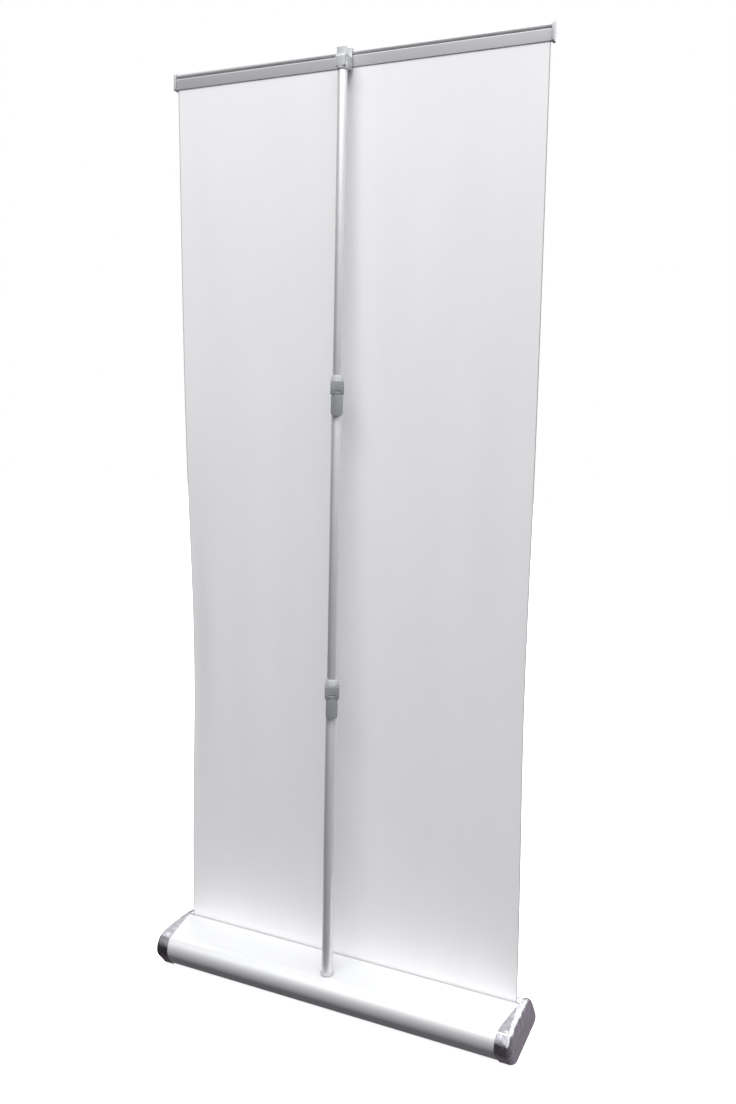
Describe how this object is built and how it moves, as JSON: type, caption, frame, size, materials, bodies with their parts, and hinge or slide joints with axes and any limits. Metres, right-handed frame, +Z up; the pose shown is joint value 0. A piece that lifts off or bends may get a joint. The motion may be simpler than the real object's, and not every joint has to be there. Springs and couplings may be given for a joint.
{
  "type": "roll-up banner stand",
  "caption": "Free-standing roll-up banner stand: wide aluminium cassette with a spring roller, telescopic pole with flip-lever clamps, hooked top rail and a plain sheet.",
  "frame": {"origin": "on the floor under the middle of the base", "axes": "+Z up along the pole, +X along the base, -Y the side that the banner's face looks to, +Y the pole's side"},
  "size_m": [0.902, 0.2169, 2.1191],
  "materials": {
    "anodised_aluminium": "satin silver anodised, fine lines along the extrusion",
    "pole_aluminium": "drawn tube, silver anodised, faint lines along its length",
    "chrome": "chrome-plated moulding, polished",
    "steel": "zinc-plated",
    "grey_plastic": "fine moulded grain",
    "light_plastic": "fine moulded grain, silver grey",
    "black_plastic": "moulded, inside the stand",
    "rubber": "matt",
    "banner_film": "white film, satin, faint long waves"
  },
  "bodies": {
    "base": {"base_housing": "anodised_aluminium", "base_end_plate_left": "black_plastic", "base_end_plate_right": "black_plastic", "end_cover_left": "chrome", "end_cover_right": "chrome", "end_screw_left_1": "steel", "end_screw_left_2": "steel", "end_screw_left_3": "steel", "end_screw_left_4": "steel", "end_screw_right_1": "steel", "end_screw_right_2": "steel", "end_screw_right_3": "steel", "end_screw_right_4": "steel", "foot_pad_1": "rubber", "foot_pad_2": "rubber", "foot_pad_3": "rubber", "foot_pad_4": "rubber", "spring_shaft": "steel", "roller_idle_pin": "steel", "torsion_spring": "steel", "banner_leader": "banner_film", "banner_sheet": "banner_film", "pole_socket": "light_plastic", "pole_lower_tube": "pole_aluminium", "pole_foot_plug": "black_plastic", "clamp_lower_collar": "grey_plastic", "clamp_lower_cone": "light_plastic", "clamp_lower_pin": "steel"},
    "roller": {"roller_tube": "steel", "roller_plug_left": "black_plastic", "roller_plug_right": "black_plastic", "banner_reserve_roll": "banner_film"},
    "middle_section": {"pole_middle_tube": "pole_aluminium", "pole_middle_guide": "black_plastic", "clamp_middle_collar": "grey_plastic", "clamp_middle_cone": "light_plastic", "clamp_middle_pin": "steel"},
    "upper_section": {"pole_upper_tube": "pole_aluminium", "pole_upper_guide": "black_plastic", "pole_hook": "light_plastic", "top_rail_body": "anodised_aluminium", "top_rail_jaw": "anodised_aluminium", "rail_cap_left": "light_plastic", "rail_cap_right": "light_plastic"},
    "lower_lever": {"clamp_lower_lever": "grey_plastic"},
    "upper_lever": {"clamp_middle_lever": "grey_plastic"}
  },
  "joints": [
    {"name": "middle_section_slide", "type": "slide", "parent": "base", "child": "middle_section", "axis": [0, 0, 1], "range_m": [-0.577, 0], "deforming": ["banner_sheet"]},
    {"name": "upper_section_slide", "type": "slide", "parent": "middle_section", "child": "upper_section", "axis": [0, 0, 1], "range_m": [-0.577, 0]},
    {"name": "roller_spin", "type": "hinge", "parent": "base", "child": "roller", "pos_m": [0, -0.00485, 0.047], "axis": [1, 0, 0], "range_deg": [0, 3400]},
    {"name": "lower_lever_swing", "type": "hinge", "parent": "base", "child": "lower_lever", "pos_m": [-0.00722, 0.07895, 0.74694], "axis": [0.9004, 0.435, 0], "range_deg": [0, 100]},
    {"name": "upper_lever_swing", "type": "hinge", "parent": "middle_section", "child": "upper_lever", "pos_m": [-0.00657, 0.0776, 1.41219], "axis": [0.9004, 0.435, 0], "range_deg": [0, 100]}
  ],
  "couplings": [
    {"joint": "upper_section_slide", "follows": "middle_section_slide", "ratio": 1},
    {"joint": "roller_spin", "follows": "middle_section_slide", "rad_per_m": -102.5}
  ]
}
